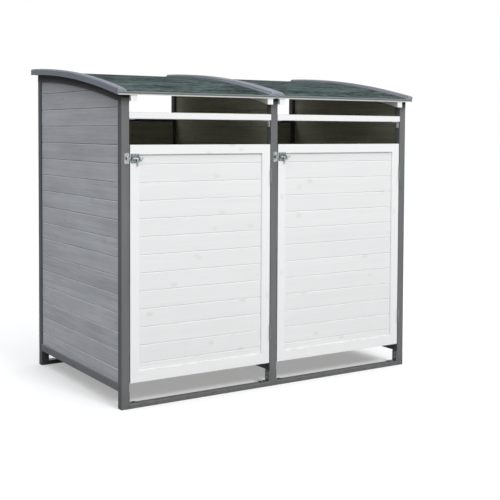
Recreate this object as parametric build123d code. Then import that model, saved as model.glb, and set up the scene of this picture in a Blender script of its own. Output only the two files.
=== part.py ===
from build123d import *
import math
import os

# Store for two wheeled bins: a painted softwood frame with tongue-and-groove walls,
# a curved felted roof and two framed doors that open outwards, each with a barrel bolt.
# Sizes are millimetres. The origin is on the ground under the middle of the whole store,
# +X runs to the right seen from the front, +Y to the rear and +Z up.

# Frame
width = 1500                # over the outer posts
depth = 930                 # over the front and rear posts
middle_wall_x = -12         # middle of the middle wall, a little to the left
post_side = 35
post_arris = 1.6            # bevel on a post's long corners
batten_arris = 1.2          # bevel on the long edges of rails, bars and thresholds

# Walls
rail_bottom = 70            # ground to the underside of the bottom rails
bottom_rail_height = 33
top_rail_height = 34
board_thickness = 13
board_cover = 76.2          # face width of one board
board_bevel = 2.4           # bevel that makes the V line between two boards
board_setback = 6           # outer face of the boards behind the outer face of the posts
lowest_board_cover = 55     # bottom rail to the lowest line between two boards
tongue_height = 5
tongue_thickness = 4
tongue_play = 0.3           # groove larger than the tongue by this on each side
rear_top_rail_height = 27

# Thresholds and crossbars
threshold_height = 18
threshold_depth = 35
crossbar_below_post_top = 64  # crossbar's underside, from the front of the post's sloping top
crossbar_height = 27
crossbar_depth = 35

# Steel angles that hold the crossbars and the thresholds to the posts
crossbar_angle_leg = 28
crossbar_angle_width = 16
crossbar_angle_metal = 2
foot_angle_below_rail = 2
foot_angle_reach = 40
foot_angle_width = 31
foot_angle_metal = 3

# Roof, an arc about an axis that runs left to right
roof_radius = 4950          # underside of the deck
roof_crest = 1396           # height of that underside at the top of its arc
crest_behind_front = 1076   # from the front of the posts to the top of the arc
roof_front_overhang = 18    # deck, from the front of the posts
roof_rear_overhang = 23     # deck, from the rear of the posts
roof_side_overhang = 19     # deck, from the outer faces of the posts
deck_thickness = 12
deck_board_cover = 76
deck_board_gap = 0.6
felt_thickness = 2
felt_lip = 6                # felt turned down over the front and rear edges
rafter_width = 28
rafter_height = 26
rafter_front_setback = 3    # rafter end behind the deck's front edge
seam_batten_width = 18      # between the two decks, over the middle wall
cap_height = 14             # above the felt
cap_foot_width = 9          # thin foot on the felt beside a cap
cap_foot_height = 5
side_cap_width = 30
side_cap_leg = 6            # leg that covers the deck's side edge
middle_cap_width = 62
cap_rounding = 6

# Doors
door_bottom = 105
door_below_crossbar = 105
door_gap = 4                # beside a post
door_lip = 8                # frame in front of the boards
door_rebate = 10            # boards lap behind the frame by this
door_stile_width = 42
door_top_rail_height = 41
door_bottom_rail_height = 46
door_frame_bevel = 3        # on the frame's inner edges
door_board_thickness = 12
door_board_cover = 74
first_door_joint_drop = 39  # top rail to the highest line between two door boards

# Butt hinges, in the gap at the right edge of each door
hinge_height = 66
hinge_from_door_end = 107   # door end to the nearest end of a hinge
hinge_leaf_metal = 1.6
hinge_leaf_width = 18
hinge_knuckles = 3          # the outer two on the post leaf, the middle one on the door leaf
hinge_knuckle_radius = 4
hinge_knuckle_clearance = 0.3
hinge_pin_radius = 2
hinge_pin_play = 0.05
hinge_pin_inset = 4         # pin's end inside the outer knuckle
hinge_knuckle_off_face = 0.5  # knuckles clear of the door face and the post face

# Barrel bolts, at the upper left of each door
bolt_below_door_top = 55    # rod's axis
bolt_plate_side = 38
bolt_plate_metal = 1.5
bolt_plate_corner = 2
bolt_plate_from_door_edge = 2
bolt_rod_radius = 4
bolt_rod_length = 57
bolt_end_bevel = 0.8        # on the ends of the rod and its handle
bolt_rod_play = 0.1
bolt_rod_off_plate = 0.2
bolt_handle_radius = 3
bolt_handle_drop = 30
bolt_strap_width = 6
bolt_strap_metal = 1.6
bolt_strap_foot = 7
keeper_width = 14
keeper_plate_width = 21
keeper_from_post_edge = 1.5
keeper_plate_height = 44

# Radii worked out from the sizes above
felt_radius = roof_radius + deck_thickness
cap_seat_radius = felt_radius + felt_thickness
cap_radius = cap_seat_radius + cap_height
board_top_radius = roof_radius - top_rail_height

# Angles from the top of the arc to the caps' ends, over the felt's front and rear edges
crest_to_felt_front = crest_behind_front + roof_front_overhang + felt_thickness
crest_to_felt_rear = crest_behind_front - depth - roof_rear_overhang - felt_thickness
cap_front_angle = math.asin(crest_to_felt_front / cap_seat_radius)
cap_rear_angle = math.asin(crest_to_felt_rear / cap_seat_radius)

# Places. The caps reach furthest forward on their rounding and furthest back at their foot.
cap_front_reach = (cap_radius - cap_rounding) * math.sin(cap_front_angle)
cap_front_reach += cap_rounding * (1 - math.cos(cap_front_angle))
cap_rear_reach = roof_radius * math.sin(cap_rear_angle)
roof_axis_y = (cap_front_reach + cap_rear_reach) / 2
roof_axis_z = roof_crest - roof_radius
roof_axis = Axis((0, roof_axis_y, roof_axis_z), (1, 0, 0))
front = roof_axis_y - crest_behind_front
rear = front + depth
roof_front = front - roof_front_overhang
roof_rear = rear + roof_rear_overhang
board_bottom = rail_bottom + bottom_rail_height
first_wall_joint = board_bottom + lowest_board_cover
foot_angle_rise = rail_bottom - threshold_height - foot_angle_below_rail
door_thickness = door_lip + door_board_thickness
hinge_axis_y = front - hinge_knuckle_off_face - hinge_knuckle_radius


def arc_height(radius, y):
    """Height of a roof arc of this radius above a place from front to rear."""
    return roof_axis_z + math.sqrt(radius**2 - (y - roof_axis_y) ** 2)


# Heights that follow the roof
crossbar_bottom = arc_height(board_top_radius, front) - crossbar_below_post_top
rear_wall_top = crossbar_bottom + crossbar_height
door_top = crossbar_bottom - door_below_crossbar
bolt_height = door_top - bolt_below_door_top

# Left edge of the left, middle and right wall
wall_left = {
    "left": -width / 2,
    "middle": middle_wall_x - post_side / 2,
    "right": width / 2 - post_side,
}

# Clear span of each bay between the posts
bay_span = {
    "left": (wall_left["left"] + post_side, wall_left["middle"]),
    "right": (wall_left["middle"] + post_side, wall_left["right"]),
}

parts = {}


def block(x0, x1, y0, y1, z0, z1):
    """Box between two corners."""
    corner = (Align.MIN, Align.MIN, Align.MIN)
    return Pos(x0, y0, z0) * Box(x1 - x0, y1 - y0, z1 - z0, align=corner)


def upright_cylinder(x, y, z0, z1, radius):
    """Round bar standing at a place."""
    return Pos(x, y, z0) * Cylinder(radius, z1 - z0, align=(Align.CENTER, Align.CENTER, Align.MIN))


def batten(x0, x1, y0, y1, z0, z1, grain):
    """Planed batten with its edges along the grain bevelled."""
    body = block(x0, x1, y0, y1, z0, z1)
    return chamfer(body.edges().filter_by(grain), batten_arris)


def roof_arc(radius, y0, y1):
    """Piece of a roof arc, drawn from y0 to y1 in the side view."""
    middle = (y0 + y1) / 2
    return ThreePointArc(
        (y0, arc_height(radius, y0)),
        (middle, arc_height(radius, middle)),
        (y1, arc_height(radius, y1)),
    )


def side_view_prism(outline, x0, x1):
    """Solid with a closed outline in the side view, from x0 to x1."""
    face = Plane.YZ.offset(x0) * make_face(outline)
    return extrude(face, amount=x1 - x0)


def arched_panel(x0, x1, y0, y1, z0, radius):
    """Upright solid with a flat foot and a top that follows the roof."""
    top = roof_arc(radius, y0, y1)
    sides = Polyline((y1, arc_height(radius, y1)), (y1, z0), (y0, z0), (y0, arc_height(radius, y0)))
    return side_view_prism([top, sides], x0, x1)


def arched_band(x0, x1, y0, y1, low_radius, high_radius):
    """Strip between two roof arcs, cut upright at both ends."""
    low = roof_arc(low_radius, y0, y1)
    high = roof_arc(high_radius, y0, y1)
    front_end = Line((y0, arc_height(low_radius, y0)), (y0, arc_height(high_radius, y0)))
    rear_end = Line((y1, arc_height(low_radius, y1)), (y1, arc_height(high_radius, y1)))
    return side_view_prism([low, rear_end, high, front_end], x0, x1)


def board_outline(z0, z1, thickness, grooved, tongued):
    """Section of one board: face bevels, a groove below and a tongue above."""
    tongue_near = (thickness - tongue_thickness) / 2
    tongue_far = tongue_near + tongue_thickness
    groove_near = tongue_near - tongue_play
    groove_far = tongue_far + tongue_play
    groove_top = z0 + tongue_height + tongue_play
    points = [(thickness, z1), (thickness, z0)]
    if grooved:
        points += [(groove_far, z0), (groove_far, groove_top), (groove_near, groove_top)]
        points += [(groove_near, z0), (board_bevel, z0), (0, z0 + board_bevel)]
    else:
        points += [(0, z0)]
    if tongued:
        points += [(0, z1 - board_bevel), (board_bevel, z1), (tongue_near, z1)]
        points += [(tongue_near, z1 + tongue_height), (tongue_far, z1 + tongue_height), (tongue_far, z1)]
    else:
        points += [(0, z1)]
    return make_face(Polyline(*points, close=True))


def board_stack(start, inwards, length, z0, z1, first_joint, cover, thickness):
    """Boards laid one on another from z0 to z1.

    start is on the outer face at the end where the boards begin, inwards points
    through their thickness, and they run to the right of inwards, seen from above.
    """
    run = Vector(*inwards).cross(Vector(0, 0, 1))
    plane = Plane(origin=(start[0], start[1], 0), x_dir=inwards, z_dir=run)
    joint_count = math.ceil((z1 - first_joint) / cover)
    joints = [first_joint + cover * number for number in range(joint_count)]
    lows = [z0] + joints
    highs = joints + [z1]
    boards = []
    for low, high in zip(lows, highs):
        outline = board_outline(low, high, thickness, grooved=low > z0, tongued=high < z1)
        boards.append(extrude(plane * outline, amount=length).solid())
    return boards


def add_wall(name, left):
    """One side of a bay: two posts, a bottom rail, an arched top rail and boards between."""
    right = left + post_side
    front_post_rear = front + post_side
    rear_post_front = rear - post_side
    for end, y0 in (("front", front), ("rear", rear_post_front)):
        post = arched_panel(left, right, y0, y0 + post_side, 0, board_top_radius)
        parts[f"{name}_{end}_post"] = chamfer(post.edges().filter_by(Axis.Z), post_arris)
    parts[f"{name}_bottom_rail"] = batten(
        left, right, front_post_rear, rear_post_front, rail_bottom, board_bottom, Axis.Y
    )
    parts[f"{name}_top_rail"] = arched_band(left, right, front, rear, board_top_radius, roof_radius)

    setback = (post_side - board_thickness) / 2 if name == "middle" else board_setback
    if name == "right":
        start, inwards = (right - setback, front_post_rear), (-1, 0, 0)
    else:
        start, inwards = (left + setback, rear_post_front), (1, 0, 0)
    span = rear_post_front - front_post_rear
    highest = arc_height(board_top_radius, rear_post_front)
    stack = board_stack(
        start, inwards, span, board_bottom, highest, first_wall_joint, board_cover, board_thickness
    )
    under_rail = arched_panel(left, right, front_post_rear, rear_post_front, 0, board_top_radius)
    lowest_arch = arc_height(board_top_radius, front_post_rear)
    boards = []
    for board in stack:
        reaches_arch = board.bounding_box().max.Z > lowest_arch
        boards.append((board & under_rail).solid() if reaches_arch else board)
    parts[f"{name}_wall_boards"] = Compound(boards)


def add_rear_wall(bay):
    """Rear of one bay: boards between a bottom rail and a flat top rail."""
    x0, x1 = bay_span[bay]
    y0 = rear - post_side
    top_rail_bottom = rear_wall_top - rear_top_rail_height
    parts[f"{bay}_rear_bottom_rail"] = batten(x0, x1, y0, rear, rail_bottom, board_bottom, Axis.X)
    parts[f"{bay}_rear_top_rail"] = batten(x0, x1, y0, rear, top_rail_bottom, rear_wall_top, Axis.X)
    boards = board_stack(
        (x1, rear - board_setback), (0, -1, 0), x1 - x0,
        board_bottom, top_rail_bottom, first_wall_joint, board_cover, board_thickness,
    )
    parts[f"{bay}_rear_boards"] = Compound(boards)


def angle_bracket(corner_x, y0, y1, corner_z, reach, rise, metal):
    """Folded steel angle with its corner between a post and a bar. Signs give the two legs' ways."""
    upright_x = sorted((corner_x, corner_x + math.copysign(metal, reach)))
    lying_x = sorted((corner_x, corner_x + reach))
    upright_z = sorted((corner_z, corner_z + rise))
    lying_z = sorted((corner_z, corner_z + math.copysign(metal, rise)))
    upright = block(*upright_x, y0, y1, *upright_z)
    lying = block(*lying_x, y0, y1, *lying_z)
    return (upright + lying).solid()


def add_bars_and_thresholds():
    """Crossbars over the doors, thresholds on the ground and the steel angles at their ends."""
    crossbar_angles = []
    foot_angles = []
    for bay, (x0, x1) in bay_span.items():
        parts[f"{bay}_crossbar"] = batten(
            x0, x1, front, front + crossbar_depth,
            crossbar_bottom, crossbar_bottom + crossbar_height, Axis.X,
        )
        threshold_fronts = {"front": front, "rear": rear - threshold_depth}
        for end, y0 in threshold_fronts.items():
            parts[f"{bay}_{end}_threshold"] = batten(
                x0, x1, y0, y0 + threshold_depth, 0, threshold_height, Axis.X
            )
        angle_front = front + (crossbar_depth - crossbar_angle_width) / 2
        for x, side in ((x0, 1), (x1, -1)):
            crossbar_angles.append(angle_bracket(
                x, angle_front, angle_front + crossbar_angle_width, crossbar_bottom,
                side * crossbar_angle_leg, -crossbar_angle_leg, crossbar_angle_metal,
            ))
            for y0 in threshold_fronts.values():
                foot_front = y0 + (threshold_depth - foot_angle_width) / 2
                foot_angles.append(angle_bracket(
                    x, foot_front, foot_front + foot_angle_width, threshold_height,
                    side * foot_angle_reach, foot_angle_rise, foot_angle_metal,
                ))
    parts["crossbar_angles"] = Compound(crossbar_angles)
    parts["threshold_angles"] = Compound(foot_angles)


def add_roof(bay):
    """Roof of one bay: two rafters against the walls, deck boards across them and felt over all."""
    x0, x1 = bay_span[bay]
    for side, left in (("left", x0), ("right", x1 - rafter_width)):
        parts[f"{bay}_bay_{side}_rafter"] = arched_band(
            left, left + rafter_width, roof_front + rafter_front_setback, roof_rear,
            roof_radius - rafter_height, roof_radius,
        )
    outer_edge = width / 2 + roof_side_overhang
    if bay == "left":
        deck_x0, deck_x1 = -outer_edge, middle_wall_x - seam_batten_width / 2
    else:
        deck_x0, deck_x1 = middle_wall_x + seam_batten_width / 2, outer_edge
    board_count = round((roof_rear - roof_front) / deck_board_cover)
    pitch = (roof_rear - roof_front + deck_board_gap) / board_count
    boards = []
    for number in range(board_count):
        y0 = roof_front + pitch * number
        band = arched_band(deck_x0, deck_x1, y0, y0 + pitch - deck_board_gap, roof_radius, felt_radius)
        boards.append(band.solid())
    parts[f"{bay}_deck_boards"] = Compound(boards)

    felt_front = roof_front - felt_thickness
    felt_rear = roof_rear + felt_thickness
    sheet = arched_band(deck_x0, deck_x1, felt_front, felt_rear, felt_radius, cap_seat_radius)
    for y0, y1 in ((felt_front, roof_front), (roof_rear, felt_rear)):
        lip_bottom = arc_height(felt_radius, y0) - felt_lip
        sheet += arched_panel(deck_x0, deck_x1, y0, y1, lip_bottom, felt_radius)
    parts[f"{bay}_roof_felt"] = sheet


def bent_cap(section):
    """Cap with its section in front view, X by radius, bent along the roof from rear to front."""
    standing = Plane(origin=roof_axis.position, x_dir=(1, 0, 0), z_dir=(0, -1, 0)) * section
    at_rear = standing.rotate(roof_axis, math.degrees(cap_rear_angle))
    cap = revolve(at_rear, roof_axis, math.degrees(cap_front_angle - cap_rear_angle))
    top = cap.faces().filter_by(GeomType.CYLINDER).sort_by(lambda face: face.radius)[-1]
    return fillet(top.edges(), cap_rounding)


def add_caps():
    """Rounded capping battens over the roof's sides and middle seam."""
    foot_radius = cap_seat_radius + cap_foot_height
    outer = width / 2 + roof_side_overhang + side_cap_leg
    inner = outer - side_cap_width
    for name, way in (("left", -1), ("right", 1)):
        outline = Polyline(
            (way * outer, roof_radius),
            (way * outer, cap_radius),
            (way * inner, cap_radius),
            (way * inner, foot_radius),
            (way * (inner - cap_foot_width), foot_radius),
            (way * (inner - cap_foot_width), cap_seat_radius),
            (way * (outer - side_cap_leg), cap_seat_radius),
            (way * (outer - side_cap_leg), roof_radius),
            close=True,
        )
        parts[f"{name}_roof_cap"] = bent_cap(make_face(outline))

    batten_left = middle_wall_x - seam_batten_width / 2
    parts["roof_seam_batten"] = arched_band(
        batten_left, batten_left + seam_batten_width, roof_front, roof_rear, roof_radius, cap_seat_radius
    )
    on_seam = (Align.CENTER, Align.MIN)
    body = Rectangle(middle_cap_width, cap_height, align=on_seam)
    foot = Rectangle(middle_cap_width + 2 * cap_foot_width, cap_foot_height, align=on_seam)
    parts["middle_roof_cap"] = bent_cap(Pos(middle_wall_x, cap_seat_radius) * (body + foot))


def edge_bevel(x, y, z0, z1, towards):
    """Three-sided prism that bevels an upright edge of the door frame."""
    corner = Polyline(
        (x, y), (x + towards * door_frame_bevel, y), (x, y + door_frame_bevel), close=True
    )
    return Pos(0, 0, z0) * extrude(make_face(corner), amount=z1 - z0)


def lying_bevel(x0, x1, y, z, towards):
    """Three-sided prism that bevels a lying edge of the door frame."""
    corner = Polyline(
        (y, z), (y, z + towards * door_frame_bevel), (y + door_frame_bevel, z), close=True
    )
    return side_view_prism(corner, x0, x1)


def add_door(bay):
    """Door leaf: a rebated frame with boards set behind its front lip."""
    bay_left, bay_right = bay_span[bay]
    x0, x1 = bay_left + door_gap, bay_right - door_gap
    y0, lip_rear, y1 = front, front + door_lip, front + door_thickness
    inner_left, inner_right = x0 + door_stile_width, x1 - door_stile_width
    inner_bottom = door_bottom + door_bottom_rail_height
    inner_top = door_top - door_top_rail_height
    stiles = {
        "latch": (x0, inner_left, inner_left, -1),
        "hinge": (inner_right, x1, inner_right, 1),
    }
    for name, (left, right, edge, towards) in stiles.items():
        stile = block(left, right, y0, y1, door_bottom, door_top)
        rebate_x = sorted((edge, edge + towards * door_rebate))
        stile -= block(*rebate_x, lip_rear, y1, door_bottom, door_top)
        stile -= edge_bevel(edge, y0, inner_bottom, inner_top, towards)
        parts[f"{bay}_door_{name}_stile"] = stile
    rails = {
        "bottom": (door_bottom, inner_bottom, inner_bottom, -1),
        "top": (inner_top, door_top, inner_top, 1),
    }
    for name, (low, high, edge, towards) in rails.items():
        lip = block(inner_left, inner_right, y0, lip_rear, low, high)
        rear_z = sorted({low, high} - {edge} | {edge + towards * door_rebate})
        lap = block(inner_left - door_rebate, inner_right + door_rebate, lip_rear, y1, *rear_z)
        bevel = lying_bevel(inner_left, inner_right, y0, edge, towards)
        parts[f"{bay}_door_{name}_rail"] = lip + lap - bevel
    board_low, board_high = inner_bottom - door_rebate, inner_top + door_rebate
    highest_joint = inner_top - first_door_joint_drop
    joints_below = math.floor((highest_joint - inner_bottom) / door_board_cover)
    boards = board_stack(
        (inner_left - door_rebate, lip_rear), (0, 1, 0), inner_right - inner_left + 2 * door_rebate,
        board_low, board_high, highest_joint - joints_below * door_board_cover,
        door_board_cover, door_board_thickness,
    )
    parts[f"{bay}_door_boards"] = Compound(boards)


def hinge_leaf(axis_x, z0, side, own_knuckles):
    """Hinge leaf with its plate along +Y on one side of the pin and some of the solid knuckles."""
    plate_front = hinge_axis_y + hinge_knuckle_radius + hinge_knuckle_clearance
    plate_x = sorted((axis_x + side * door_gap / 2, axis_x + side * (door_gap / 2 - hinge_leaf_metal)))
    leaf = block(*plate_x, plate_front, plate_front + hinge_leaf_width, z0, z0 + hinge_height)
    knuckle_height = hinge_height / hinge_knuckles
    for number in own_knuckles:
        low = z0 + number * knuckle_height + hinge_knuckle_clearance / 2
        high = z0 + (number + 1) * knuckle_height - hinge_knuckle_clearance / 2
        leaf += block(*plate_x, hinge_axis_y, plate_front, low, high)
        leaf += upright_cylinder(axis_x, hinge_axis_y, low, high, hinge_knuckle_radius)
    return leaf


def add_hinges():
    """Two butt hinges for each door: bored leaves on the door, leaves with a riveted pin on the post."""
    heights = (door_bottom + hinge_from_door_end, door_top - hinge_from_door_end - hinge_height)
    post_leaves = []
    for bay, (bay_left, bay_right) in bay_span.items():
        axis_x = bay_right - door_gap / 2
        door_leaves = []
        for z0 in heights:
            pin_low = z0 + hinge_pin_inset
            pin_high = z0 + hinge_height - hinge_pin_inset
            bore_radius = hinge_pin_radius + hinge_pin_play
            bore = upright_cylinder(axis_x, hinge_axis_y, pin_low, pin_high, bore_radius)
            pin = upright_cylinder(axis_x, hinge_axis_y, pin_low, pin_high, hinge_pin_radius)
            door_leaves.append((hinge_leaf(axis_x, z0, -1, (1,)) - bore).solid())
            post_leaves.append((hinge_leaf(axis_x, z0, 1, (0, 2)) + pin).solid())
        parts[f"{bay}_door_hinge_leaves"] = Compound(door_leaves)
    parts["post_hinge_leaves"] = Compound(post_leaves)


def strap_arch(half_width, axis_y, plate_front):
    """Side view of an arch that stands on the plate round the rod's axis, its corners cut across."""
    corner = half_width * (2 - math.sqrt(2))
    top = axis_y - half_width
    return Polyline(
        (plate_front, bolt_height - half_width),
        (top + corner, bolt_height - half_width),
        (top, bolt_height - half_width + corner),
        (top, bolt_height + half_width - corner),
        (top + corner, bolt_height + half_width),
        (plate_front, bolt_height + half_width),
        close=True,
    )


def rod_strap(x0, x1, axis_y, plate_front):
    """Folded strap over the bolt rod, with a flat foot above and below on the plate."""
    inner = bolt_rod_radius + bolt_rod_play
    outer = inner + bolt_strap_metal
    reach = outer + bolt_strap_foot
    strap = side_view_prism(strap_arch(outer, axis_y, plate_front), x0, x1)
    strap += block(
        x0, x1, plate_front - bolt_strap_metal, plate_front, bolt_height - reach, bolt_height + reach
    )
    return strap - side_view_prism(strap_arch(inner, axis_y, plate_front), x0, x1)


def bolt_plate(x0, x1, plate_front, height):
    """Upright steel plate on the front of a door or post, its corners cut across."""
    plate = block(x0, x1, plate_front, front, bolt_height - height / 2, bolt_height + height / 2)
    return chamfer(plate.edges().filter_by(Axis.Y), bolt_plate_corner)


def add_bolt(bay):
    """Barrel bolt: plate with two straps on the door, sliding rod with a handle, keeper on the post."""
    bay_left = bay_span[bay][0]
    plate_left = bay_left + door_gap + bolt_plate_from_door_edge
    plate_right = plate_left + bolt_plate_side
    plate_front = front - bolt_plate_metal
    axis_y = plate_front - bolt_rod_off_plate - bolt_rod_radius
    plate = bolt_plate(plate_left, plate_right, plate_front, bolt_plate_side)
    for strap_left in (plate_left, plate_right - bolt_strap_width):
        plate += rod_strap(strap_left, strap_left + bolt_strap_width, axis_y, plate_front)
    parts[f"{bay}_bolt_plate"] = plate

    rod_left = plate_left
    lengthwise = (Align.CENTER, Align.CENTER, Align.MIN)
    rod = Cylinder(bolt_rod_radius, bolt_rod_length, align=lengthwise)
    rod = chamfer(rod.edges().filter_by(GeomType.CIRCLE).sort_by(Axis.Z)[0], bolt_end_bevel)
    rod = Pos(rod_left, axis_y, bolt_height) * Rot(0, 90, 0) * rod
    handle_x = plate_right - bolt_strap_width - bolt_rod_play - bolt_handle_radius
    handle = upright_cylinder(
        handle_x, axis_y, bolt_height - bolt_handle_drop, bolt_height, bolt_handle_radius
    )
    handle = chamfer(handle.edges().filter_by(GeomType.CIRCLE).sort_by(Axis.Z)[0], bolt_end_bevel)
    parts[f"{bay}_bolt_rod"] = rod + handle

    keeper_right = bay_left - keeper_from_post_edge
    keeper = bolt_plate(keeper_right - keeper_plate_width, keeper_right, plate_front, keeper_plate_height)
    keeper += rod_strap(keeper_right - keeper_width, keeper_right, axis_y, plate_front)
    parts[f"{bay}_bolt_keeper"] = keeper


for wall, left in wall_left.items():
    add_wall(wall, left)
for bay in bay_span:
    add_rear_wall(bay)
    add_roof(bay)
    add_door(bay)
    add_bolt(bay)
add_bars_and_thresholds()
add_caps()
add_hinges()

os.makedirs("parts", exist_ok=True)
for node, shape in parts.items():
    export_step(shape, f"parts/{node}.step")
print(len(parts), "nodes")
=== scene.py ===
import math

import bpy
from mathutils import Matrix, Vector


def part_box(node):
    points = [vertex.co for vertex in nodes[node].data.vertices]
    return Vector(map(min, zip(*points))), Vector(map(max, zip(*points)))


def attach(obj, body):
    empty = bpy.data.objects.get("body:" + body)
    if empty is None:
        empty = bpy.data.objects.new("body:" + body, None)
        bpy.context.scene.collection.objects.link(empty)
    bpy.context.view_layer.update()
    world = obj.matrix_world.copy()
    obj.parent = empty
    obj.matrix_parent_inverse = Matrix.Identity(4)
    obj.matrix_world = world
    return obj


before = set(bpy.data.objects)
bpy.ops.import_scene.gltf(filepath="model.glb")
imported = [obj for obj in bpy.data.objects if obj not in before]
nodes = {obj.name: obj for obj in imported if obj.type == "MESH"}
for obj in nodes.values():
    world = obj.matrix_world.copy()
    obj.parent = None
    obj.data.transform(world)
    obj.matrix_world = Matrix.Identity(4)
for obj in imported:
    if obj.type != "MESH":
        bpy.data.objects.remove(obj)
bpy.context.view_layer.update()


# Camera
# A normal lens in front of the left-hand corner, a little below eye height, as the photograph was taken.
# Its place is measured from the left front post's outer corner on the ground.
photo_pixels = 500
focal_length_pixels = 974.16
horizon_pixel = 172.48
ground_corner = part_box("left_front_post")[0]
camera_from_corner = Vector((-1.67065, -3.55467, 1.13102))
camera_yaw = math.radians(32.70)
camera_pitch = math.radians(2.43)
camera_roll = math.radians(0.27)

camera_data = bpy.data.cameras.new("camera")
camera_data.sensor_width = 36
camera_data.lens = focal_length_pixels * camera_data.sensor_width / photo_pixels
camera_data.shift_y = (horizon_pixel - photo_pixels / 2) / photo_pixels
camera = bpy.data.objects.new("camera", camera_data)
bpy.context.scene.collection.objects.link(camera)
bpy.context.scene.camera = camera
sight = Vector((
    math.sin(camera_yaw) * math.cos(camera_pitch),
    math.cos(camera_yaw) * math.cos(camera_pitch),
    -math.sin(camera_pitch),
))
level_right = Vector((math.cos(camera_yaw), -math.sin(camera_yaw), 0))
level_up = level_right.cross(sight)
right = level_right * math.cos(camera_roll) + level_up * math.sin(camera_roll)
up = right.cross(sight)
turn = Matrix((right, up, -sight)).transposed()
camera.matrix_world = Matrix.Translation(ground_corner + camera_from_corner) @ turn.to_4x4()


# Floor and light
# A pale studio floor under white surroundings. The light comes mostly from overhead, so the wall under the
# roof's edge is dark, and a soft lamp high in front brightens the doors.
bpy.ops.object.select_all(action="DESELECT")
floor_width = 60
bpy.ops.mesh.primitive_plane_add(size=floor_width, location=(0, 0, 0))
floor = bpy.context.object
floor.name = "floor"


def new_material(name):
    """Empty node material with its output node."""
    material = bpy.data.materials.new(name)
    material.use_nodes = True
    tree = material.node_tree
    tree.nodes.clear()
    output = tree.nodes.new("ShaderNodeOutputMaterial")
    return material, tree, output


def add_math(tree, operation, first, second=0):
    """Math node with each input either a number or a socket to link. Returns its output."""
    node = tree.nodes.new("ShaderNodeMath")
    node.operation = operation
    for socket, value in zip(node.inputs, (first, second)):
        if isinstance(value, (int, float)):
            socket.default_value = value
        else:
            tree.links.new(value, socket)
    return node.outputs[0]


def add_shader_mix(tree, factor, first, second):
    """Mix of two shaders by a number or a socket."""
    node = tree.nodes.new("ShaderNodeMixShader")
    if isinstance(factor, float):
        node.inputs["Fac"].default_value = factor
    else:
        tree.links.new(factor, node.inputs["Fac"])
    tree.links.new(first, node.inputs[1])
    tree.links.new(second, node.inputs[2])
    return node.outputs[0]


def seen_directly(tree, *kinds):
    """One where a ray of one of these kinds meets the surface, else zero."""
    rays = tree.nodes.new("ShaderNodeLightPath")
    seen = rays.outputs[kinds[0]]
    for kind in kinds[1:]:
        seen = add_math(tree, "MAXIMUM", seen, rays.outputs[kind])
    return seen


# The floor is white to the eye where nothing shades it, and it throws little light back on the walls.
glow_share = 0.3
floor_material, tree, output = new_material("pale_floor")
shadowed = tree.nodes.new("ShaderNodeBsdfDiffuse")
shadowed.inputs["Color"].default_value = (0.80, 0.80, 0.80, 1)
white_glow = tree.nodes.new("ShaderNodeEmission")
white_glow.inputs["Strength"].default_value = 1.1
bounce = tree.nodes.new("ShaderNodeBsdfDiffuse")
bounce.inputs["Color"].default_value = (0.26, 0.26, 0.26, 1)
pale = add_shader_mix(tree, glow_share, shadowed.outputs[0], white_glow.outputs[0])
seen = seen_directly(tree, "Is Camera Ray", "Is Glossy Ray")
tree.links.new(add_shader_mix(tree, seen, bounce.outputs[0], pale), output.inputs["Surface"])
floor.data.materials.append(floor_material)

zenith_strength = 2.55
world = bpy.data.worlds.new("surroundings")
bpy.context.scene.world = world
world.use_nodes = True
tree = world.node_tree
tree.nodes.clear()
output = tree.nodes.new("ShaderNodeOutputWorld")
direction = tree.nodes.new("ShaderNodeTexCoord")
split = tree.nodes.new("ShaderNodeSeparateXYZ")
tree.links.new(direction.outputs["Generated"], split.inputs["Vector"])
height = add_math(tree, "MAXIMUM", split.outputs["Z"], 0.0)
glow = add_math(tree, "MULTIPLY", add_math(tree, "POWER", height, 2.0), zenith_strength)
overhead = tree.nodes.new("ShaderNodeBackground")
overhead.inputs["Color"].default_value = (0.97, 0.985, 1, 1)
tree.links.new(glow, overhead.inputs["Strength"])
backdrop = tree.nodes.new("ShaderNodeBackground")
backdrop.inputs["Color"].default_value = (1, 1, 1, 1)
seen = seen_directly(tree, "Is Camera Ray", "Is Glossy Ray", "Is Transmission Ray")
tree.links.new(add_shader_mix(tree, seen, overhead.outputs[0], backdrop.outputs[0]), output.inputs["Surface"])

lamp_data = bpy.data.lights.new("front_lamp", "AREA")
lamp_data.shape = "SQUARE"
lamp_data.size = 1.6
lamp_data.energy = 345
front_lamp = bpy.data.objects.new("front_lamp", lamp_data)
bpy.context.scene.collection.objects.link(front_lamp)
lamp_target = Vector((0, 0, 0.7))
front_lamp.location = (0.2, -6.6, 5.0)
lamp_aim = lamp_target - front_lamp.location
front_lamp.rotation_euler = lamp_aim.to_track_quat("-Z", "Y").to_euler()

bpy.context.scene.view_settings.view_transform = "Standard"


# Posts, rails and thresholds
# Square planed softwood battens, sprayed in opaque grey. The grain stands up a little through the paint and
# runs along each batten. Splashes have dulled the paint near the feet, and painted shade darkens the tops
# under the roof.
def add_group(name, inputs, outputs):
    """Shader node group with its input and output nodes.

    An input is (name, type, default) and an output is (name, type).
    """
    group = bpy.data.node_groups.new(name, "ShaderNodeTree")
    for socket_name, kind, value in inputs:
        socket = group.interface.new_socket(socket_name, in_out="INPUT", socket_type=kind)
        socket.default_value = value
    for socket_name, kind in outputs:
        group.interface.new_socket(socket_name, in_out="OUTPUT", socket_type=kind)
    return group, group.nodes.new("NodeGroupInput"), group.nodes.new("NodeGroupOutput")


def place_group(tree, group, source, *settings):
    """Node group placed in a tree, with its first input linked to a source and (input, number) settings.

    Returns its outputs.
    """
    node = tree.nodes.new("ShaderNodeGroup")
    node.node_tree = group
    tree.links.new(source, node.inputs[0])
    for name, number in settings:
        node.inputs[name].default_value = number
    return node.outputs


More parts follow.
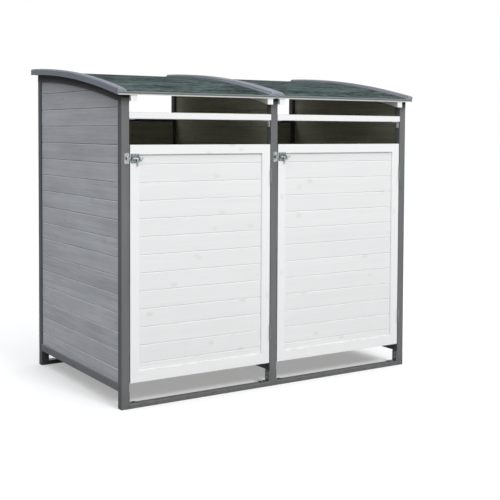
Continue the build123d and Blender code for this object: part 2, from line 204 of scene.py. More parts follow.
def add_stretched_noise(tree, vector, stretch, detail, roughness):
    """Noise on a vector that is scaled unevenly, for streaks along one axis. Returns its value."""
    mapping = tree.nodes.new("ShaderNodeMapping")
    mapping.inputs["Scale"].default_value = stretch
    noise = tree.nodes.new("ShaderNodeTexNoise")
    noise.inputs["Scale"].default_value = 1
    noise.inputs["Detail"].default_value = detail
    noise.inputs["Roughness"].default_value = roughness
    tree.links.new(vector, mapping.inputs["Vector"])
    tree.links.new(mapping.outputs["Vector"], noise.inputs["Vector"])
    return noise.outputs["Fac"]


def add_range(tree, value, low, high, to_low, to_high):
    """Value moved from one range to another and kept inside it."""
    node = tree.nodes.new("ShaderNodeMapRange")
    for name, number in (("From Min", low), ("From Max", high), ("To Min", to_low), ("To Max", to_high)):
        node.inputs[name].default_value = number
    tree.links.new(value, node.inputs["Value"])
    return node.outputs["Result"]


def add_color_mix(tree, factor, first, second, blend="MIX"):
    """Mix of two colours, each a colour or a socket, by a socket."""
    node = tree.nodes.new("ShaderNodeMix")
    node.data_type = "RGBA"
    node.blend_type = blend
    tree.links.new(factor, node.inputs["Factor"])
    for name, value in (("A", first), ("B", second)):
        if isinstance(value, (tuple, list)):
            node.inputs[name].default_value = (*value, 1)
        else:
            tree.links.new(value, node.inputs[name])
    return node.outputs["Result"]


# Most of a noise lies in this span.
noise_span = (0.3, 0.7)


def make_grain_group():
    """Painted softwood, on a vector in metres with the grain along X.

    Puts out a tone, a mask of the knots, a roughness and a height.
    """
    group, start, end = add_group(
        "painted_grain",
        [("Vector", "NodeSocketVector", (0, 0, 0)), ("Knots", "NodeSocketFloat", 0.5)],
        [
            ("Tone", "NodeSocketFloat"),
            ("Knot", "NodeSocketFloat"),
            ("Roughness", "NodeSocketFloat"),
            ("Height", "NodeSocketFloat"),
        ],
    )
    vector = start.outputs["Vector"]
    fibres = add_stretched_noise(group, vector, (9, 420, 420), 3, 0.6)
    bands = add_stretched_noise(group, vector, (1.6, 42, 42), 2, 0.5)
    brush = add_stretched_noise(group, vector, (2.5, 150, 150), 2, 0.5)
    clouds = add_stretched_noise(group, vector, (3, 6, 6), 2, 0.5)

    knot_map = group.nodes.new("ShaderNodeMapping")
    knot_map.inputs["Scale"].default_value = (8, 13, 13)
    knots = group.nodes.new("ShaderNodeTexVoronoi")
    knots.inputs["Scale"].default_value = 1
    group.links.new(vector, knot_map.inputs["Vector"])
    group.links.new(knot_map.outputs["Vector"], knots.inputs["Vector"])
    knot = add_range(group, knots.outputs["Distance"], 0.05, 0.17, 1, 0)
    knot = add_math(group, "MULTIPLY", knot, start.outputs["Knots"])

    tone = add_range(group, bands, *noise_span, -0.25, 0.25)
    tone = add_math(group, "ADD", tone, add_range(group, brush, *noise_span, -0.2, 0.2))
    tone = add_math(group, "ADD", tone, add_range(group, clouds, *noise_span, -0.25, 0.25))
    tone = add_math(group, "ADD", tone, add_range(group, fibres, *noise_span, -0.3, 0.3))
    group.links.new(tone, end.inputs["Tone"])
    group.links.new(knot, end.inputs["Knot"])
    group.links.new(add_range(group, brush, *noise_span, 0.6, 0.8), end.inputs["Roughness"])
    height = add_math(group, "ADD", add_math(group, "MULTIPLY", fibres, 0.5), bands)
    height = add_math(group, "ADD", height, add_math(group, "MULTIPLY", knot, 0.8))
    group.links.new(height, end.inputs["Height"])
    return group


def make_board_group():
    """Random number and offset for each board of a stack, and masks of the edges where two boards meet.

    Joint covers the edge above each line, which faces down, and Arris the edge below it, which faces up.
    """
    group, start, end = add_group(
        "board_pick",
        [
            ("Place", "NodeSocketFloat", 0),
            ("First joint", "NodeSocketFloat", 0),
            ("Cover", "NodeSocketFloat", 0.1),
            ("Line", "NodeSocketFloat", 0.0028),
            ("Seed", "NodeSocketFloat", 0),
        ],
        [
            ("Random", "NodeSocketFloat"),
            ("Offset", "NodeSocketVector"),
            ("Joint", "NodeSocketFloat"),
            ("Arris", "NodeSocketFloat"),
        ],
    )
    cover = start.outputs["Cover"]
    from_joint = add_math(group, "SUBTRACT", start.outputs["Place"], start.outputs["First joint"])
    count = add_math(group, "FLOOR", add_math(group, "DIVIDE", from_joint, cover))
    number = add_math(group, "ADD", count, start.outputs["Seed"])
    pick = group.nodes.new("ShaderNodeTexWhiteNoise")
    pick.noise_dimensions = "1D"
    group.links.new(number, pick.inputs["W"])
    group.links.new(pick.outputs["Value"], end.inputs["Random"])
    spread = group.nodes.new("ShaderNodeVectorMath")
    spread.operation = "SCALE"
    spread.inputs["Scale"].default_value = 40
    group.links.new(pick.outputs["Color"], spread.inputs[0])
    group.links.new(spread.outputs["Vector"], end.inputs["Offset"])
    above = add_math(group, "FLOORED_MODULO", from_joint, cover)
    below = add_math(group, "SUBTRACT", cover, above)
    for name, distance in (("Joint", above), ("Arris", below)):
        away = add_math(group, "DIVIDE", distance, start.outputs["Line"])
        group.links.new(add_range(group, away, 0.6, 1, 1, 0), end.inputs[name])
    return group


def make_splash_group():
    """Mask of the dirt that rain throws up from the ground, strongest at the foot."""
    group, start, end = add_group(
        "ground_splash", [("Vector", "NodeSocketVector", (0, 0, 0))], [("Mask", "NodeSocketFloat")]
    )
    split = group.nodes.new("ShaderNodeSeparateXYZ")
    group.links.new(start.outputs["Vector"], split.inputs["Vector"])
    low = add_range(group, split.outputs["Z"], 0, 0.1, 0.45, 0)
    spots = add_stretched_noise(group, start.outputs["Vector"], (60, 60, 25), 4, 0.65)
    mask = add_math(group, "MULTIPLY", low, add_range(group, spots, 0.35, 0.65, 0.2, 1))
    group.links.new(mask, end.inputs["Mask"])
    return group


def make_arris_group():
    """Mask of a piece's arrises, broken up by noise, where wear and a painted highlight lighten them."""
    group, start, end = add_group(
        "arris_wear_and_highlight",
        [("Vector", "NodeSocketVector", (0, 0, 0)), ("Width", "NodeSocketFloat", 0.002)],
        [("Mask", "NodeSocketFloat")],
    )
    rounded = group.nodes.new("ShaderNodeBevel")
    rounded.samples = 4
    group.links.new(start.outputs["Width"], rounded.inputs["Radius"])
    flat = group.nodes.new("ShaderNodeNewGeometry")
    agree = group.nodes.new("ShaderNodeVectorMath")
    agree.operation = "DOT_PRODUCT"
    group.links.new(rounded.outputs["Normal"], agree.inputs[0])
    group.links.new(flat.outputs["True Normal"], agree.inputs[1])
    edge = add_range(group, agree.outputs["Value"], 0.72, 0.97, 1, 0)
    breaks = add_stretched_noise(group, start.outputs["Vector"], (30, 30, 30), 4, 0.65)
    mask = add_math(group, "MULTIPLY", edge, add_range(group, breaks, 0.4, 0.62, 0.1, 1))
    group.links.new(mask, end.inputs["Mask"])
    return group


# The arc of the deck's underside: its radius, its crest and how far that lies behind the posts' front.
roof_radius = 4.95
roof_crest = 1.396
crest_behind_front = 1.076


def make_roof_shade_group():
    """Mask that fades with the depth under the roof's arc, for the painted shade close under the roof."""
    group, start, end = add_group(
        "roof_shade_group",
        [
            ("Vector", "NodeSocketVector", (0, 0, 0)),
            ("Fade from", "NodeSocketFloat", 0.01),
            ("Fade to", "NodeSocketFloat", 0.05),
        ],
        [("Mask", "NodeSocketFloat")],
    )
    split = group.nodes.new("ShaderNodeSeparateXYZ")
    group.links.new(start.outputs["Vector"], split.inputs["Vector"])
    back = add_math(group, "SUBTRACT", split.outputs["Y"], ground_corner.y + crest_behind_front)
    rise = add_math(group, "SUBTRACT", split.outputs["Z"], roof_crest - roof_radius)
    squares = add_math(group, "ADD", add_math(group, "POWER", back, 2.0), add_math(group, "POWER", rise, 2.0))
    depth = add_math(group, "SUBTRACT", roof_radius, add_math(group, "SQRT", squares))
    past = add_math(group, "SUBTRACT", depth, start.outputs["Fade from"])
    length = add_math(group, "SUBTRACT", start.outputs["Fade to"], start.outputs["Fade from"])
    faded = add_math(group, "DIVIDE", past, length)
    group.links.new(add_range(group, faded, 0, 1, 1, 0), end.inputs["Mask"])
    return group


painted_grain = make_grain_group()
board_pick = make_board_group()
ground_splash = make_splash_group()
arris_wear_and_highlight = make_arris_group()
roof_shade_group = make_roof_shade_group()
grain_turn = {"X": (0, 0, 0), "Y": (0, 0, math.radians(90)), "Z": (0, math.radians(90), 0)}
bare_timber = (0.60, 0.595, 0.50)
knot_stain = (0.80, 0.785, 0.76)
splash_dirt = (0.085, 0.08, 0.062)
# The colour of the painted shade close under the roof.
painted_roof_shade = (0.008, 0.008, 0.0085)
board_tone_spread = 0.14
lightest_paint = 0.9
raw_darkest = 0.66
raw_lightest = 1.3
# Arrises are lightened by this much, partly for wear and partly as a painted highlight.
wear_and_highlight_gain = 1.3
wear_and_highlight_lift = 0.02
lightest_wear_and_highlight = 0.88


def scaled(color, share, lift=0.0, limit=1.0):
    """Colour made darker or lighter by a share, with each channel kept under a limit."""
    return [min(share * channel + lift, limit) for channel in color]


def add_facing(tree, normal, way):
    """One on the faces that point this way, in the piece's own axes, else zero."""
    node = tree.nodes.new("ShaderNodeVectorMath")
    node.operation = "DOT_PRODUCT"
    node.inputs[1].default_value = way
    tree.links.new(normal, node.inputs[0])
    return add_math(tree, "GREATER_THAN", node.outputs["Value"], 0.5)


def finish_surface(tree, shader, output, look, height, bump_strength, bump_depth):
    """Gives a shader its colour and a bump that is this many metres deep, and links it to the output."""
    bump = tree.nodes.new("ShaderNodeBump")
    bump.inputs["Strength"].default_value = bump_strength
    bump.inputs["Distance"].default_value = bump_depth
    tree.links.new(height, bump.inputs["Height"])
    tree.links.new(bump.outputs["Normal"], shader.inputs["Normal"])
    tree.links.new(look, shader.inputs["Base Color"])
    tree.links.new(shader.outputs[0], output.inputs["Surface"])


def paint_material(
    name, color, grain, contrast,
    knots=0.4, boards=None, seed=0.0, bare=None, edge=None, dirt_and_shade=None, roof_shade=None,
):
    """Opaque paint on softwood.

    grain is the axis that the grain follows. contrast is how far the tone strays either way. boards is
    (axis across the boards, first joint, cover, tone above a joint, tone below it) where one node holds many
    boards; the two tones darken the joints and also paint shade and highlight on the bevels. bare is the way
    that the unpainted inner faces look. edge is (way, colour) for faces that point one way in another paint,
    which on the rear posts is painted shade. The colour for level faces stands for dust and also paints shade
    on the brightly lit tops. The roof's painted shade is (depth under the roof where it begins to fade, depth
    where it ends, most of it).
    """
    material, tree, output = new_material(name)
    paint = tree.nodes.new("ShaderNodeBsdfPrincipled")
    paint.inputs["Specular IOR Level"].default_value = 0.03
    coordinates = tree.nodes.new("ShaderNodeTexCoord")
    place = coordinates.outputs["Object"]
    normal = coordinates.outputs["Normal"]
    turn = tree.nodes.new("ShaderNodeMapping")
    turn.inputs["Rotation"].default_value = grain_turn[grain]
    turn.inputs["Location"].default_value = (seed, seed, seed)
    tree.links.new(place, turn.inputs["Vector"])
    vector = turn.outputs["Vector"]
    if boards:
        axis, first_joint, cover, joint_tone_and_light, arris_tone_and_light = boards
        split = tree.nodes.new("ShaderNodeSeparateXYZ")
        tree.links.new(place, split.inputs["Vector"])
        pick = place_group(
            tree, board_pick, split.outputs[axis],
            ("First joint", first_joint), ("Cover", cover), ("Seed", seed),
        )
        shift = tree.nodes.new("ShaderNodeVectorMath")
        tree.links.new(vector, shift.inputs[0])
        tree.links.new(pick["Offset"], shift.inputs[1])
        vector = shift.outputs["Vector"]
    wood = place_group(tree, painted_grain, vector, ("Knots", knots))
    tone = wood["Tone"]
    if boards:
        board_tone = add_range(tree, pick["Random"], 0, 1, -board_tone_spread, board_tone_spread)
        tone = add_math(tree, "ADD", tone, board_tone)
    tone = add_range(tree, tone, -1, 1, 0, 1)

    darkest = scaled(color, 1 - contrast)
    lightest = scaled(color, 1 + contrast, limit=lightest_paint)
    look = add_color_mix(tree, tone, darkest, lightest)
    if boards:
        # The bevels at the joints take the given tones: dark joints, and on the walls and doors painted shade
        # and highlight.
        look = add_color_mix(tree, pick["Joint"], look, scaled(color, joint_tone_and_light))
        look = add_color_mix(tree, pick["Arris"], look, scaled(color, arris_tone_and_light, limit=lightest_paint))
    if bare:
        raw = add_color_mix(tree, tone, scaled(bare_timber, raw_darkest), scaled(bare_timber, raw_lightest))
        look = add_color_mix(tree, add_facing(tree, normal, bare), look, raw)
    look = add_color_mix(tree, wood["Knot"], look, knot_stain, "MULTIPLY")
    if edge:
        way, edge_color = edge
        look = add_color_mix(tree, add_facing(tree, normal, way), look, edge_color)
    # Level faces take a grey that is both dust and painted shade on the brightly lit tops.
    if dirt_and_shade:
        top_blotches = add_stretched_noise(tree, place, (20, 20, 20), 4, 0.6)
        level = add_facing(tree, normal, (0, 0, 1))
        lying = add_math(tree, "MULTIPLY", level, add_range(tree, top_blotches, 0.35, 0.65, 0.6, 1))
        look = add_color_mix(tree, lying, look, dirt_and_shade)
    # Painted shade darkens the faces close under the roof's arc.
    if roof_shade:
        fade_from, fade_to, most_shade = roof_shade
        roof_shade_mask = place_group(tree, roof_shade_group, place, ("Fade from", fade_from), ("Fade to", fade_to))
        shade_share = add_math(tree, "MULTIPLY", roof_shade_mask["Mask"], most_shade)
        look = add_color_mix(tree, shade_share, look, painted_roof_shade)
    # Arrises are lightened, partly by wear and partly as a painted highlight.
    worn_and_lit = scaled(color, wear_and_highlight_gain, wear_and_highlight_lift, lightest_wear_and_highlight)
    look = add_color_mix(tree, place_group(tree, arris_wear_and_highlight, place)["Mask"], look, worn_and_lit)
    look = add_color_mix(tree, place_group(tree, ground_splash, place)["Mask"], look, splash_dirt)
    tree.links.new(wood["Roughness"], paint.inputs["Roughness"])
    finish_surface(tree, paint, output, look, wood["Height"], bump_strength=0.6, bump_depth=0.0004)
    return material


def dress(node, material):
    """Gives a CAD node its finish."""
    slots = nodes[node].data.materials
    slots.clear()
    slots.append(material)


frame_grey = (0.165, 0.167, 0.171)
bottom_rail_grey = (0.225, 0.23, 0.243)
# Painted shade darkens the tops of the front posts and the top rails just under the roof.
eaves_painted_shade = (0.012, 0.05, 0.8)
front_grey = paint_material(
    "grey_paint_front_upright", frame_grey, grain="Z", contrast=0.2, roof_shade=eaves_painted_shade
)
# The rear posts' faces toward the inside are painted darker, as painted shade in the gap beside the boards.
rear_post_shade_grey = (0.14, 0.142, 0.145)
rear_grey = paint_material(
    "grey_paint_rear_upright", frame_grey, grain="Z", contrast=0.2, seed=4.6,
    edge=((0, -1, 0), rear_post_shade_grey),
)
cross_grey = paint_material("grey_paint_across", frame_grey, grain="X", contrast=0.2, seed=3.1)
top_rail_shade_grey = paint_material(
    "grey_paint_with_painted_shade", frame_grey, grain="Y", contrast=0.15, seed=5.3, roof_shade=eaves_painted_shade
)
lengthwise_grey = paint_material(
    "grey_paint_lengthwise", bottom_rail_grey, grain="Y", contrast=0.2, seed=2.2
)
walls = ("left", "middle", "right")
bays = ("left", "right")
for wall in walls:
    dress(f"{wall}_front_post", front_grey)
    dress(f"{wall}_rear_post", rear_grey)
    dress(f"{wall}_top_rail", top_rail_shade_grey)
    dress(f"{wall}_bottom_rail", lengthwise_grey)
for bay in bays:
    dress(f"{bay}_rear_bottom_rail", cross_grey)
    dress(f"{bay}_rear_top_rail", cross_grey)
    dress(f"{bay}_front_threshold", cross_grey)
    dress(f"{bay}_rear_threshold", cross_grey)


# Wall boards
# Tongue-and-groove softwood boards with bevelled edges, nailed between the posts and sprayed in a lighter
# grey than the frame on the outside only. Inside the store the timber is bare and has gone olive.
board_grey = (0.535, 0.55, 0.58)
board_cover = 0.0762
first_wall_joint = 0.158
# Above each joint the down-facing bevel is painted dark, for the joint and as painted shade; below it the
# up-facing bevel gets a painted highlight.
groove_shade_tone = 0.30
bevel_highlight_tone = 1.5
wall_joints = ("Z", first_wall_joint, board_cover, groove_shade_tone, bevel_highlight_tone)
board_contrast = 0.28
# Painted shade darkens the wall boards just under the top rail.
top_rail_painted_shade = (0.045, 0.10, 0.17)
inner_face = {"left": (1, 0, 0), "right": (-1, 0, 0)}
for number, wall in enumerate(("left", "right")):
    boards = paint_material(
        f"{wall}_wall_paint", board_grey, grain="Y", contrast=board_contrast, boards=wall_joints,
        seed=7.0 * number, bare=inner_face[wall], roof_shade=top_rail_painted_shade,
    )
    dress(f"{wall}_wall_boards", boards)
bare_boards = paint_material(
    "middle_wall_timber", bare_timber, grain="Y", contrast=0.33, knots=0.8, boards=wall_joints, seed=21
)
dress("middle_wall_boards", bare_boards)
for number, bay in enumerate(bays):
    boards = paint_material(
        f"{bay}_rear_paint", board_grey, grain="X", contrast=board_contrast, boards=wall_joints,
        seed=30 + 7.0 * number, bare=(0, -1, 0),
    )
    dress(f"{bay}_rear_boards", boards)


# Rafters, crossbars and door frames
# The same softwood in white paint, its ledges greyed by dust and by painted shade on the bright tops. Rafter
# ends show as white squares under the front edge of the roof, the crossbars stand on small angles, and the
# door frames hold the boards behind a lip.
white = (0.85, 0.85, 0.85)
ledge_dirt_and_shade = (0.55, 0.545, 0.52)
lengthwise_white, cross_white, upright_white = (
    paint_material(f"white_paint_{run}", white, grain=axis, contrast=0.03, seed=seed, dirt_and_shade=ledge_dirt_and_shade)
    for run, axis, seed in (("lengthwise", "Y", 1.7), ("across", "X", 6.1), ("upright", "Z", 9.4))
)
for bay in bays:
    for side in ("left", "right"):
        dress(f"{bay}_bay_{side}_rafter", lengthwise_white)
    dress(f"{bay}_crossbar", cross_white)
    for rail in ("top", "bottom"):
        dress(f"{bay}_door_{rail}_rail", cross_white)
    for stile in ("hinge", "latch"):
        dress(f"{bay}_door_{stile}_stile", upright_white)


# Door boards
# Thinner white boards that lie behind the door frame's lip, with the same bevelled lines between them. The
# grain runs across the door, and some knots show through the paint.
door_board_white = (0.80, 0.80, 0.80)
door_board_cover = 0.074
highest_door_joint = 0.049
# The bevels are painted lighter above each joint and darker below it, painted light and shade that soften the
# lines' own shading.
door_groove_painted_light = 1.06
door_bevel_painted_shade = 0.945
for number, bay in enumerate(bays):
    low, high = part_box(f"{bay}_door_boards")
    boards = paint_material(
        f"{bay}_door_board_paint", door_board_white, grain="X", contrast=0.04, knots=0.45,
        boards=("Z", high.z - highest_door_joint, door_board_cover, door_groove_painted_light, door_bevel_painted_shade),
        seed=60 + 9.0 * number,
    )
    dress(f"{bay}_door_boards", boards)


# Roof deck
# Rough sawn softwood boards laid across the rafters, bare below, with the front edge painted off-white. They
# follow the rafters' arc from front to rear.
deck_board_count = 13
deck_edge = (0.66, 0.665, 0.64)
deck_gap_tone = 0.4
deck_arris_tone = 0.6
deck_low, deck_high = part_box("left_deck_boards")
deck_front = deck_low.y
deck_pitch = (deck_high.y - deck_front) / deck_board_count
for number, bay in enumerate(bays):
    deck = paint_material(
        f"{bay}_deck_timber", bare_timber, grain="X", contrast=0.25, knots=0.8,
        boards=("Y", deck_front, deck_pitch, deck_gap_tone, deck_arris_tone),
        seed=90 + 5.0 * number, edge=((0, -1, 0), deck_edge),
    )
    dress(f"{bay}_deck_boards", deck)


# Roof felt
# Bitumen felt with green slate granules, glued and nailed to the deck. Its front edge is turned down and
# paler, with a painted highlight towards the bend. The joints of the deck below show as faint lines from side
# to side.
felt_dark = (0.010, 0.018, 0.017)
felt_light = (0.111, 0.149, 0.144)
lip_dark = (0.15, 0.165, 0.165)
lip_highlight = (0.34, 0.36, 0.355)
lip_highlight_height = 0.004
granules_per_metre = 620
deck_joint_width = 0.012
felt_material, tree, output = new_material("green_mineral_felt")
felt = tree.nodes.new("ShaderNodeBsdfPrincipled")
felt.inputs["Roughness"].default_value = 0.95
felt.inputs["Specular IOR Level"].default_value = 0.05
coordinates = tree.nodes.new("ShaderNodeTexCoord")
place = coordinates.outputs["Object"]
granules = tree.nodes.new("ShaderNodeTexVoronoi")
granules.inputs["Scale"].default_value = granules_per_metre
tree.links.new(place, granules.inputs["Vector"])
granule_split = tree.nodes.new("ShaderNodeSeparateColor")
tree.links.new(granules.outputs["Color"], granule_split.inputs["Color"])
patches = add_stretched_noise(tree, place, (5, 15, 15), 3, 0.6)
mottle = add_stretched_noise(tree, place, (30, 32, 32), 4, 0.65)
split = tree.nodes.new("ShaderNodeSeparateXYZ")
tree.links.new(place, split.inputs["Vector"])
joints = place_group(
    tree, board_pick, split.outputs["Y"],
    ("First joint", deck_front), ("Cover", deck_pitch), ("Line", deck_joint_width),
)
tone = add_math(tree, "MULTIPLY", granule_split.outputs["Red"], 0.4)
tone = add_math(tree, "ADD", tone, add_range(tree, patches, *noise_span, -0.2, 0.4))
tone = add_math(tree, "ADD", tone, add_range(tree, mottle, *noise_span, -0.18, 0.36))
tone = add_math(tree, "ADD", tone, add_range(tree, joints["Random"], 0, 1, -0.05, 0.05))
tone = add_math(tree, "SUBTRACT", tone, add_math(tree, "MULTIPLY", joints["Joint"], 0.22))
look = add_color_mix(tree, add_range(tree, tone, 0, 1, 0, 1), felt_dark, felt_light)
# The lip is paler, and a painted highlight lightens it towards the bend.
lip_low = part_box("left_roof_felt")[0].z + lip_highlight_height
lip_highlight_mask = add_range(tree, split.outputs["Z"], lip_low, lip_low + lip_highlight_height, 0, 1)
lip = add_color_mix(tree, lip_highlight_mask, lip_dark, lip_highlight)
look = add_color_mix(tree, add_facing(tree, coordinates.outputs["Normal"], (0, -1, 0)), look, lip)
finish_surface(tree, felt, output, look, granules.outputs["Distance"], bump_strength=0.8, bump_depth=0.0008)
for bay in bays:
    dress(f"{bay}_roof_felt", felt_material)


# Roof caps
# Bent battens with rounded edges and a thin foot, in a lighter blue-grey than the frame. They are screwed
# down over the felt's sides and middle seam.
cap_grey = (0.28, 0.30, 0.34)
cap_top_grey = (0.19, 0.20, 0.225)
cap_foot_width = 0.009


def cap_material(name, low_x, high_x, seed):
    """Cap paint, darker in patches on the top between these two sides."""
    material = paint_material(name, cap_grey, grain="Y", contrast=0.16, seed=seed)
    tree = material.node_tree
    base = next(node for node in tree.nodes if node.type == "BSDF_PRINCIPLED").inputs["Base Color"]
    painted = base.links[0].from_socket
    coordinates = tree.nodes.new("ShaderNodeTexCoord")
    split = tree.nodes.new("ShaderNodeSeparateXYZ")
    tree.links.new(coordinates.outputs["Object"], split.inputs["Vector"])
    inside = add_math(tree, "GREATER_THAN", split.outputs["X"], low_x)
    inside = add_math(tree, "MULTIPLY", inside, add_math(tree, "LESS_THAN", split.outputs["X"], high_x))
    top_blotches = add_stretched_noise(tree, coordinates.outputs["Object"], (25, 8, 8), 3, 0.6)
    darker_top = add_math(tree, "MULTIPLY", inside, add_range(tree, top_blotches, 0.25, 0.6, 0.55, 1))
    darker_top = add_math(tree, "MULTIPLY", darker_top, add_facing(tree, coordinates.outputs["Normal"], (0, 0, 1)))
    tree.links.new(add_color_mix(tree, darker_top, painted, cap_top_grey), base)
    return material


for number, wall in enumerate(walls):
    low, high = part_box(f"{wall}_roof_cap")
    low_foot = 0 if wall == "left" else cap_foot_width
    high_foot = 0 if wall == "right" else cap_foot_width
    cap_paint = cap_material(f"{wall}_cap_paint", low.x + low_foot, high.x - high_foot, 8.8 + number)
    dress(f"{wall}_roof_cap", cap_paint)
dress("roof_seam_batten", cap_paint)


# Hinges, bolts and angles
# Pressed steel with zinc plate, screwed on. The bolts' plates are painted dark as a painted reflection of
# dark surroundings, their rods are rubbed bright and their keepers are as new. The angles under the crossbars
# are painted pale as a painted reflection of the light in front, and the hinges and the angles at the feet
# are dull and painted dark as painted shade.
rubbed_edge = 0.0006
rubbed_gain = 1.3
lightest_zinc = 0.9


def zinc_material(name, darkest, lightest, metallic, smoothest, roughest):
    """Zinc plate with blotches of a lighter and a darker grey, rubbed brighter along its edges."""
    material, tree, output = new_material(name)
    metal = tree.nodes.new("ShaderNodeBsdfPrincipled")
    metal.inputs["Metallic"].default_value = metallic
    place = tree.nodes.new("ShaderNodeTexCoord").outputs["Object"]
    blotches = add_stretched_noise(tree, place, (130, 130, 130), 4, 0.6)
    look = add_color_mix(tree, add_range(tree, blotches, *noise_span, 0, 1), darkest, lightest)
    wear = place_group(tree, arris_wear_and_highlight, place, ("Width", rubbed_edge))
    look = add_color_mix(tree, wear["Mask"], look, scaled(lightest, rubbed_gain, limit=lightest_zinc))
    roughness = add_range(tree, blotches, *noise_span, smoothest, roughest)
    tree.links.new(roughness, metal.inputs["Roughness"])
    finish_surface(tree, metal, output, look, blotches, bump_strength=0.3, bump_depth=0.0002)
    return material


zinc = zinc_material(
    "bright_zinc", (0.20, 0.225, 0.225), (0.52, 0.55, 0.56), metallic=1, smoothest=0.24, roughest=0.42
)
# Painted reflection: the bolt plates are darkened for the dark surroundings.
dark_reflection_zinc = zinc_material(
    "dark_reflection_zinc", (0.07, 0.09, 0.088), (0.27, 0.31, 0.305), metallic=1, smoothest=0.3, roughest=0.5
)
rubbed_zinc = zinc_material(
    "rubbed_zinc", (0.30, 0.33, 0.33), (0.58, 0.61, 0.615), metallic=1, smoothest=0.2, roughest=0.35
)
# Painted reflection: the crossbar angles are nearly white, for the light in front.
pale_reflection_zinc = zinc_material(
    "pale_reflection_zinc", (0.80, 0.82, 0.825), (0.89, 0.9, 0.9), metallic=0.1, smoothest=0.4, roughest=0.6
)
# Painted shade: the hinges and foot angles are darkened.
dull_dark_reflection_zinc = zinc_material(
    "dull_dark_reflection_zinc", (0.13, 0.135, 0.14), (0.24, 0.25, 0.255), metallic=1, smoothest=0.45, roughest=0.65
)
for bay in bays:
    dress(f"{bay}_bolt_plate", dark_reflection_zinc)
    dress(f"{bay}_bolt_rod", rubbed_zinc)
    dress(f"{bay}_bolt_keeper", zinc)
    dress(f"{bay}_door_hinge_leaves", dull_dark_reflection_zinc)
dress("post_hinge_leaves", dull_dark_reflection_zinc)
dress("threshold_angles", dull_dark_reflection_zinc)
dress("crossbar_angles", pale_reflection_zinc)


# Screws
# Zinc plated screws with a cross recess. They hold the angles, the bolts and the hinges to the timber, and
# the caps to the roof. Pan heads stand on the angles, flatter heads lie in the plates and hinge leaves.
head_radius = 0.0035
head_height = 0.0016
head_rounding = 0.0009
cross_length = 0.0042
cross_width = 0.0009
cross_depth = 0.0011
cross_turn = 997
bpy.ops.object.select_all(action="DESELECT")
bpy.ops.mesh.primitive_cylinder_add(
    vertices=20, radius=head_radius, depth=head_height, location=(0, 0, head_height / 2)
)
bpy.ops.object.transform_apply(location=True)
screw_head = bpy.context.object
screw_head.name = "screw_head"
bpy.ops.object.mode_set(mode="EDIT")
bpy.ops.mesh.select_mode(type="FACE")
bpy.ops.mesh.select_all(action="DESELECT")
bpy.ops.object.mode_set(mode="OBJECT")
for face in screw_head.data.polygons:
    face.select = face.normal.z > 0.9
bpy.ops.object.mode_set(mode="EDIT")
bpy.ops.mesh.bevel(offset=head_rounding, segments=3, profile=0.5, affect="EDGES")
bpy.ops.object.mode_set(mode="OBJECT")

bpy.ops.object.select_all(action="DESELECT")
bpy.ops.mesh.primitive_cube_add(size=1, location=(0, 0, 0))
cross = bpy.context.object
bpy.ops.object.mode_set(mode="EDIT")
bpy.ops.mesh.select_all(action="SELECT")
bpy.ops.transform.resize(value=(cross_length, cross_width, 2 * cross_depth))
bpy.ops.mesh.duplicate()
bpy.ops.transform.rotate(value=math.radians(90), orient_axis="Z", center_override=(0, 0, 0))
bpy.ops.mesh.select_all(action="SELECT")
bpy.ops.transform.translate(value=(0, 0, head_height))
bpy.ops.object.mode_set(mode="OBJECT")
recess = screw_head.modifiers.new("recess", "BOOLEAN")
recess.operation = "DIFFERENCE"
recess.solver = "EXACT"
recess.use_self = True
recess.object = cross
bpy.ops.object.select_all(action="DESELECT")
screw_head.select_set(True)
bpy.context.view_layer.objects.active = screw_head
bpy.ops.object.modifier_apply(modifier=recess.name)
bpy.data.objects.remove(cross)
bpy.ops.object.shade_smooth_by_angle(angle=math.radians(35))


def drive_screw(place, way, width=1.0, height=1.0):
    """Copy of the screw head that stands on a surface.

    width and height are shares of the full head. The cross is turned as it happened to stop.
    """
    copy = screw_head.copy()
    copy.data = screw_head.data.copy()
    bpy.context.scene.collection.objects.link(copy)
    stop = Matrix.Rotation(cross_turn * sum(place), 4, "Z")
    upright = Vector(way).to_track_quat("Z", "Y").to_matrix().to_4x4()
    size = Matrix.Diagonal((width, width, height, 1))
    copy.data.transform(Matrix.Translation(place) @ upright @ stop @ size)
    return copy


def join_screws(screws, name, body):
    """The screws of one moving piece as one object that rides on it."""
    bpy.ops.object.select_all(action="DESELECT")
    for screw in screws:
        screw.select_set(True)
    bpy.context.view_layer.objects.active = screws[0]
    bpy.ops.object.join()
    joined = bpy.context.object
    joined.name = name
    joined.data.materials.clear()
    joined.data.materials.append(zinc)
    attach(joined, body)


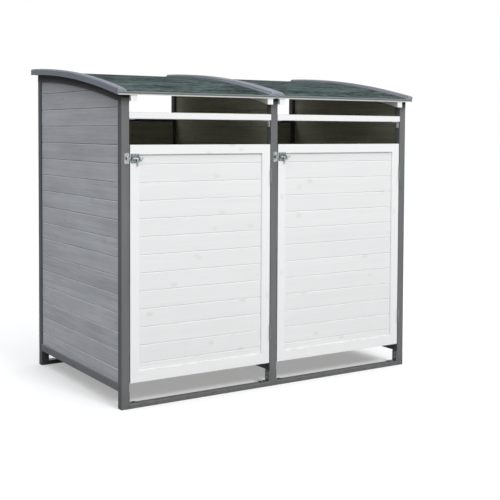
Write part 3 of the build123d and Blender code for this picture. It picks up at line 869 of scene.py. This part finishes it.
foot_angle_metal = 0.003
foot_screws_along = (0.015, 0.030)
foot_screws_up = (0.020, 0.038)
bar_angle_metal = 0.002
bar_screw_from_corner = 0.018
plate_metal = 0.0015
plate_head = (0.75, 0.45)
keeper_screw_rise = 0.0175
bolt_screw_rise = 0.0145
bolt_screw_from_side = 0.011
hinge_leaf_metal = 0.0016
hinge_leaf_width = 0.018
hinge_height = 0.066
hinge_screws_up = (0.011, 0.033, 0.055)
hinge_head = (0.8, 0.12)
posts_beside = {"left": ("left", "middle"), "right": ("middle", "right")}
frame_screws = []
for bay in bays:
    left_post, right_post = posts_beside[bay]
    left_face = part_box(f"{left_post}_front_post")[1].x
    right_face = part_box(f"{right_post}_front_post")[0].x
    crossbar_low, crossbar_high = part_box(f"{bay}_crossbar")
    crossbar_y = (crossbar_low.y + crossbar_high.y) / 2
    for face_x, inwards in ((left_face, 1), (right_face, -1)):
        for end in ("front", "rear"):
            low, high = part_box(f"{bay}_{end}_threshold")
            y = (low.y + high.y) / 2
            for along in foot_screws_along:
                on_foot = (face_x + inwards * along, y, high.z + foot_angle_metal)
                frame_screws.append(drive_screw(on_foot, (0, 0, 1)))
            for rise in foot_screws_up:
                on_upright = (face_x + inwards * foot_angle_metal, y, high.z + rise)
                frame_screws.append(drive_screw(on_upright, (inwards, 0, 0)))
        under_bar = (face_x + inwards * bar_screw_from_corner, crossbar_y, crossbar_low.z - bar_angle_metal)
        on_post = (face_x + inwards * bar_angle_metal, crossbar_y, crossbar_low.z - bar_screw_from_corner)
        frame_screws.append(drive_screw(under_bar, (0, 0, -1)))
        frame_screws.append(drive_screw(on_post, (inwards, 0, 0)))

    low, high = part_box(f"{bay}_bolt_keeper")
    middle = (low + high) / 2
    for rise in (-keeper_screw_rise, keeper_screw_rise):
        place = (middle.x, high.y - plate_metal, middle.z + rise)
        frame_screws.append(drive_screw(place, (0, -1, 0), *plate_head))
    door_screws = []
    low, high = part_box(f"{bay}_bolt_plate")
    middle = (low + high) / 2
    for x in (low.x + bolt_screw_from_side, high.x - bolt_screw_from_side):
        for rise in (-bolt_screw_rise, bolt_screw_rise):
            place = (x, high.y - plate_metal, middle.z + rise)
            door_screws.append(drive_screw(place, (0, -1, 0), *plate_head))

    low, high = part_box(f"{bay}_door_hinge_leaves")
    y = high.y - hinge_leaf_width / 2
    door_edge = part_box(f"{bay}_door_hinge_stile")[1].x
    for hinge_low in (low.z, high.z - hinge_height):
        for rise in hinge_screws_up:
            on_door = (door_edge + hinge_leaf_metal, y, hinge_low + rise)
            on_post = (right_face - hinge_leaf_metal, y, hinge_low + rise)
            door_screws.append(drive_screw(on_door, (1, 0, 0), *hinge_head))
            frame_screws.append(drive_screw(on_post, (-1, 0, 0), *hinge_head))
    join_screws(door_screws, f"{bay}_door_screws", f"{bay}_door")

cap_screws_from_end = 0.06
cap_screws_from_side = 0.015
cap_screw_count = 4
cap_head = (1.1, 0.3)
drop_height = 0.1
for wall in walls:
    cap = nodes[f"{wall}_roof_cap"]
    low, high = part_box(f"{wall}_roof_cap")
    rows = {
        "left": low.x + cap_screws_from_side,
        "middle": (low.x + high.x) / 2,
        "right": high.x - cap_screws_from_side,
    }
    first_y = low.y + cap_screws_from_end
    step = (high.y - low.y - 2 * cap_screws_from_end) / (cap_screw_count - 1)
    for number in range(cap_screw_count):
        above = Vector((rows[wall], first_y + number * step, high.z + drop_height))
        _, place, way, _ = cap.ray_cast(above, (0, 0, -1))
        frame_screws.append(drive_screw(place, way, *cap_head))
join_screws(frame_screws, "frame_screws", "store_frame")
bpy.data.objects.remove(screw_head)
